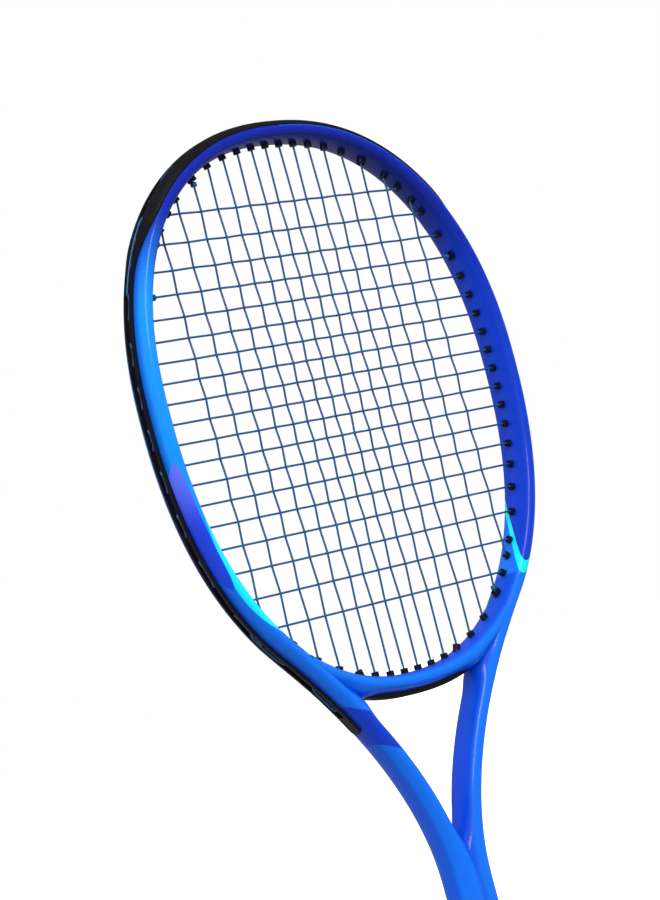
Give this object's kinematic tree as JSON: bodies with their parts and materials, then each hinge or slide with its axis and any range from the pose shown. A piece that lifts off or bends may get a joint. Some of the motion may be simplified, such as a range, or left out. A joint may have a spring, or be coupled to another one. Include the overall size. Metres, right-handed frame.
{
  "type": "tennis racket",
  "caption": "Strung tennis racket with a squared oval head, open V-shaped throat, straight shaft and wrapped octagonal handle.",
  "frame": {"origin": "centre of the butt cap's end face", "axes": "+Z along the length to the tip, +X across the head, front face towards -Y"},
  "size_m": [0.2754, 0.0378, 0.6857],
  "materials": {
    "frame_paint": "high-gloss lacquer over a carbon composite tube",
    "bumper": "satin moulded nylon",
    "grommet": "satin moulded nylon",
    "string": "satin extruded polyester monofilament",
    "pallet_foam": "moulded polyurethane foam skin",
    "butt_cap": "satin moulded",
    "butt_badge": "satin, blank",
    "grip": "soft perforated synthetic leather",
    "finishing_tape": "satin vinyl tape",
    "collar": "matte moulded rubber"
  },
  "bodies": {
    "root": {"frame_tube": "frame_paint", "throat_bridge": "frame_paint", "shaft_web": "frame_paint", "bumper_guard": "bumper", "grommet_strip_right": "grommet", "grommet_strip_left": "grommet", "grommet_strip_throat": "grommet", "main_string": "string", "cross_string": "string", "tie_off_knots": "string", "pallet_front": "pallet_foam", "pallet_back": "pallet_foam", "butt_cap": "butt_cap", "butt_badge": "butt_badge", "base_grip": "grip", "finishing_tape": "finishing_tape", "grip_collar": "collar"}
  },
  "joints": []
}
